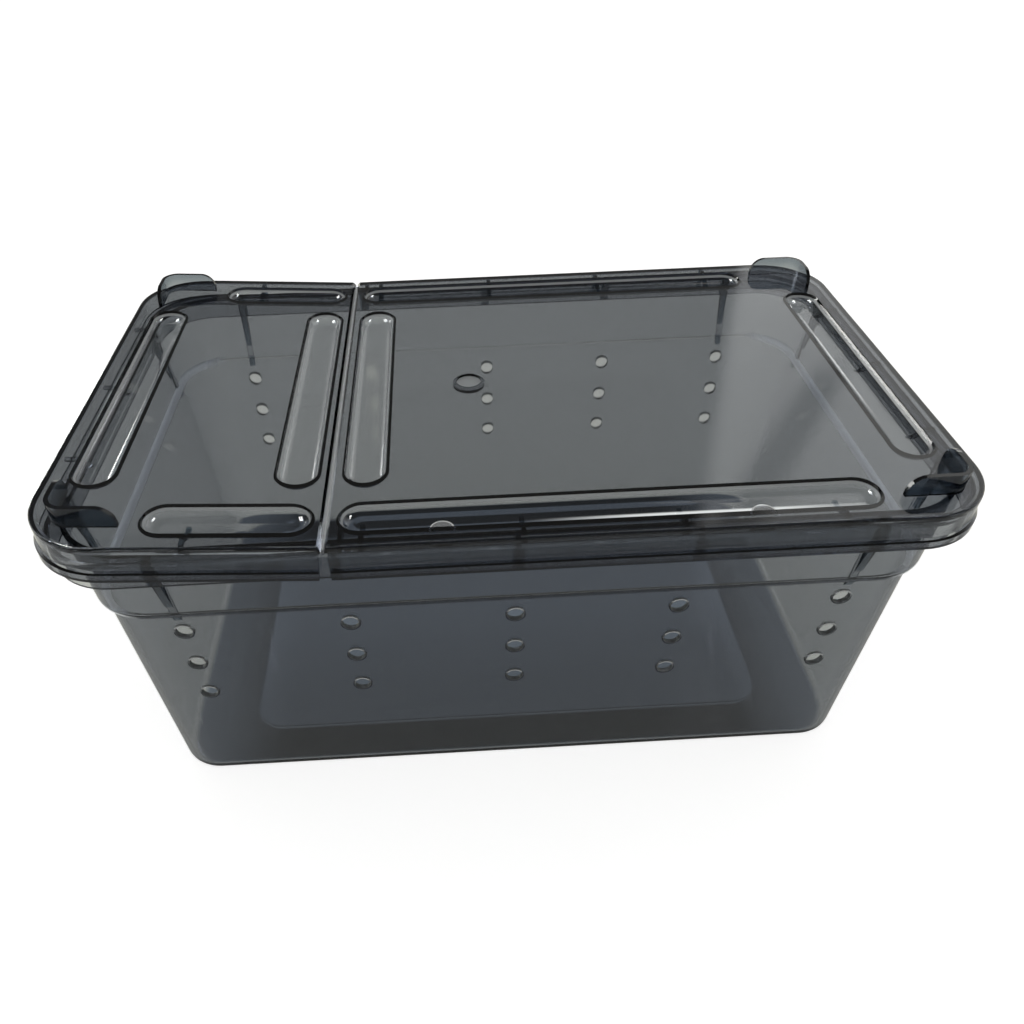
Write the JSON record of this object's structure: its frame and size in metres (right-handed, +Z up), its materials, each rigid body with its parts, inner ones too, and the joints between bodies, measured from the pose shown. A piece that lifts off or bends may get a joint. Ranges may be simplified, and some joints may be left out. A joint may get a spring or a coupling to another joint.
{
  "type": "plastic pet keeper",
  "caption": "Clear smoky keeping box with vented long walls, a channelled rim and a press-on lid that carries a hinged feeding flap and corner stacking ribs.",
  "frame": {"origin": "centre of the base's flat underside", "axes": "+X along the length, away from the flap; +Y to the back; +Z up"},
  "size_m": [0.2925, 0.177, 0.1388],
  "materials": {
    "tub_plastic": "clear, smoky grey, glossy",
    "lid_plastic": "clear, smoky grey, glossy"
  },
  "bodies": {
    "tub": {"tub": "tub_plastic"},
    "lid": {"lid_panel": "lid_plastic", "film_hinge": "lid_plastic"},
    "flap": {"lid_flap": "lid_plastic"}
  },
  "joints": [
    {"name": "lid_lift", "type": "slide", "parent": "tub", "child": "lid", "axis": [0, 0, 1], "range_m": [0, 0.04]},
    {"name": "flap_hinge", "type": "hinge", "parent": "lid", "child": "flap", "pos_m": [-0.0568, 0, 0.1252], "axis": [0, 1, 0], "range_deg": [-3.5, 76.5]}
  ]
}
